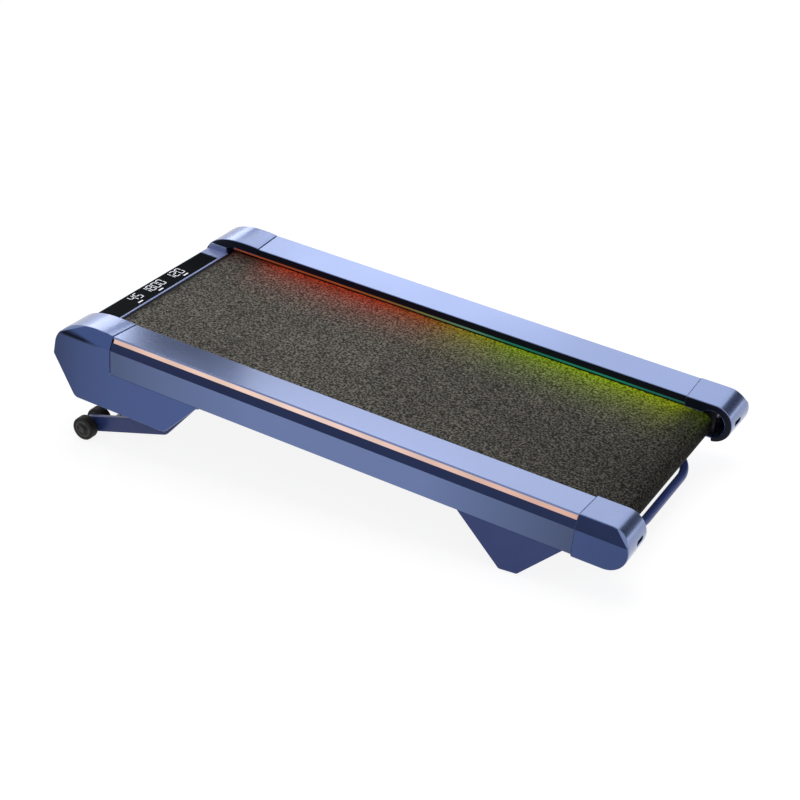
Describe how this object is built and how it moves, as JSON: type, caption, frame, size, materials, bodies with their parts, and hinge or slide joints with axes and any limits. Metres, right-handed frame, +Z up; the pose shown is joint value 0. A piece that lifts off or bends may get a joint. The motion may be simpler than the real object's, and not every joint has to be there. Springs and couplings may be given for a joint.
{
  "type": "walking pad",
  "caption": "Flat under-desk walking treadmill with hollow side rails, light strips, a front display bridge and a motorised lift arm on small wheels.",
  "frame": {"origin": "on the floor under the middle of the pad's outer box, lift arm down as at rest", "axes": "+X along the pad from its display end to its rear end, +Y across it towards the walker's right, +Z up"},
  "size_m": [1.1536, 0.563, 0.2482],
  "materials": {
    "rail_paint": "satin periwinkle anodised-look paint on the aluminium rails",
    "cap_paint": "satin periwinkle metallic moulding",
    "dark_paint": "satin navy powder coat",
    "frame_paint": "black powder coat",
    "belt_pvc": "fine-grained matte walking belt",
    "deck_wood": "waxed dark fibreboard",
    "rubber": "black rubber",
    "wheel_plastic": "black wheel with a dark hub",
    "light_diffuser": "lit frosted diffuser, warm",
    "inner_diffuser": "lit frosted diffuser, red at the front to green at the rear",
    "display_glass": "black display window",
    "digit_ink": "lit white figures",
    "circuit_board": "green circuit board",
    "tray_plastic": "dark moulded plastic",
    "steel": "plain turned or zinc-plated steel",
    "cast_alloy": "die-cast aluminium",
    "bush_bronze": "plain sintered bushes",
    "black_plastic": "black moulded plastic",
    "rocker_red": "red rocker"
  },
  "bodies": {
    "base": {"side_tube_left": "frame_paint", "side_tube_right": "frame_paint", "cross_tube_front": "frame_paint", "cross_tube_middle": "frame_paint", "cross_tube_rear": "frame_paint", "lift_beam": "frame_paint", "rear_beam": "frame_paint", "deck_board": "deck_wood", "deck_cushions": "rubber", "deck_screws": "steel", "rail_left": "rail_paint", "rail_right": "rail_paint", "outer_light_left": "light_diffuser", "outer_light_right": "light_diffuser", "inner_light_left": "inner_diffuser", "inner_light_right": "inner_diffuser", "front_housing_left": "cap_paint", "front_housing_right": "cap_paint", "rear_cap_left": "cap_paint", "rear_cap_right": "cap_paint", "bridge_cover": "cap_paint", "display_glass": "display_glass", "display_digits": "digit_ink", "display_board": "circuit_board", "belly_tray": "tray_plastic", "underside_cover": "tray_plastic", "walking_belt": "belt_pvc", "front_roller_shaft": "steel", "rear_roller_shaft": "steel", "roller_bearings": "steel", "drive_motor": "cast_alloy", "drive_belt": "rubber", "motor_bracket": "steel", "controller_box": "cast_alloy", "power_inlet": "black_plastic", "power_switch": "black_plastic", "tension_bolts": "steel", "pivot_brackets": "frame_paint", "pivot_bushes": "bush_bronze", "lift_actuator": "cast_alloy", "rear_foot_left": "dark_paint", "rear_foot_right": "dark_paint", "floor_pads": "rubber", "carry_handle": "dark_paint"},
    "front_roller": {"front_roller": "steel", "front_roller_pulley": "cast_alloy"},
    "rear_roller": {"rear_roller": "steel"},
    "motor_rotor": {"motor_rotor": "steel", "motor_pulley": "cast_alloy"},
    "lift_arm": {"lift_arm_left": "dark_paint", "lift_arm_right": "dark_paint", "lift_cross_tube": "dark_paint", "lift_torque_tube": "steel", "wheel_axles": "steel"},
    "lift_rod": {"lift_rod": "steel"},
    "wheel_left_outer": {"wheel_left_outer": "wheel_plastic"},
    "wheel_left_inner": {"wheel_left_inner": "wheel_plastic"},
    "wheel_right_outer": {"wheel_right_outer": "wheel_plastic"},
    "wheel_right_inner": {"wheel_right_inner": "wheel_plastic"},
    "rocker": {"switch_rocker": "rocker_red"}
  },
  "joints": [
    {"name": "front_roller_spin", "type": "hinge", "parent": "base", "child": "front_roller", "pos_m": [-0.49388, 0, 0.19425], "axis": [0, 1, 0], "continuous": true},
    {"name": "rear_roller_spin", "type": "hinge", "parent": "base", "child": "rear_roller", "pos_m": [0.51093, 0, 0.092], "axis": [0, 1, 0], "continuous": true},
    {"name": "motor_spin", "type": "hinge", "parent": "base", "child": "motor_rotor", "pos_m": [-0.5394, 0, 0.17174], "axis": [0, 1, 0], "continuous": true},
    {"name": "lift_fold", "type": "hinge", "parent": "base", "child": "lift_arm", "pos_m": [-0.29618, 0, 0.13191], "axis": [0, 1, 0], "range_deg": [0, 24]},
    {"name": "lift_rod_slide", "type": "slide", "parent": "base", "child": "lift_rod", "axis": [0.9949, 0, -0.1012], "range_m": [-0.0177, 0]},
    {"name": "wheel_left_outer_spin", "type": "hinge", "parent": "lift_arm", "child": "wheel_left_outer", "pos_m": [-0.53586, -0.259, 0.02302], "axis": [0, 1, 0], "continuous": true},
    {"name": "wheel_left_inner_spin", "type": "hinge", "parent": "lift_arm", "child": "wheel_left_inner", "pos_m": [-0.53586, -0.217, 0.02302], "axis": [0, 1, 0], "continuous": true},
    {"name": "wheel_right_outer_spin", "type": "hinge", "parent": "lift_arm", "child": "wheel_right_outer", "pos_m": [-0.53586, 0.259, 0.02302], "axis": [0, 1, 0], "continuous": true},
    {"name": "wheel_right_inner_spin", "type": "hinge", "parent": "lift_arm", "child": "wheel_right_inner", "pos_m": [-0.53586, 0.217, 0.02302], "axis": [0, 1, 0], "continuous": true},
    {"name": "power_switch_rock", "type": "hinge", "parent": "base", "child": "rocker", "pos_m": [-0.57116, -0.034, 0.1609], "axis": [0, 1, 0], "range_deg": [0, 16]}
  ],
  "couplings": [
    {"joint": "rear_roller_spin", "follows": "front_roller_spin", "ratio": 1},
    {"joint": "motor_spin", "follows": "front_roller_spin", "ratio": 2.3958},
    {"joint": "lift_rod_slide", "follows": "lift_fold", "m_per_rad": -0.041694}
  ]
}
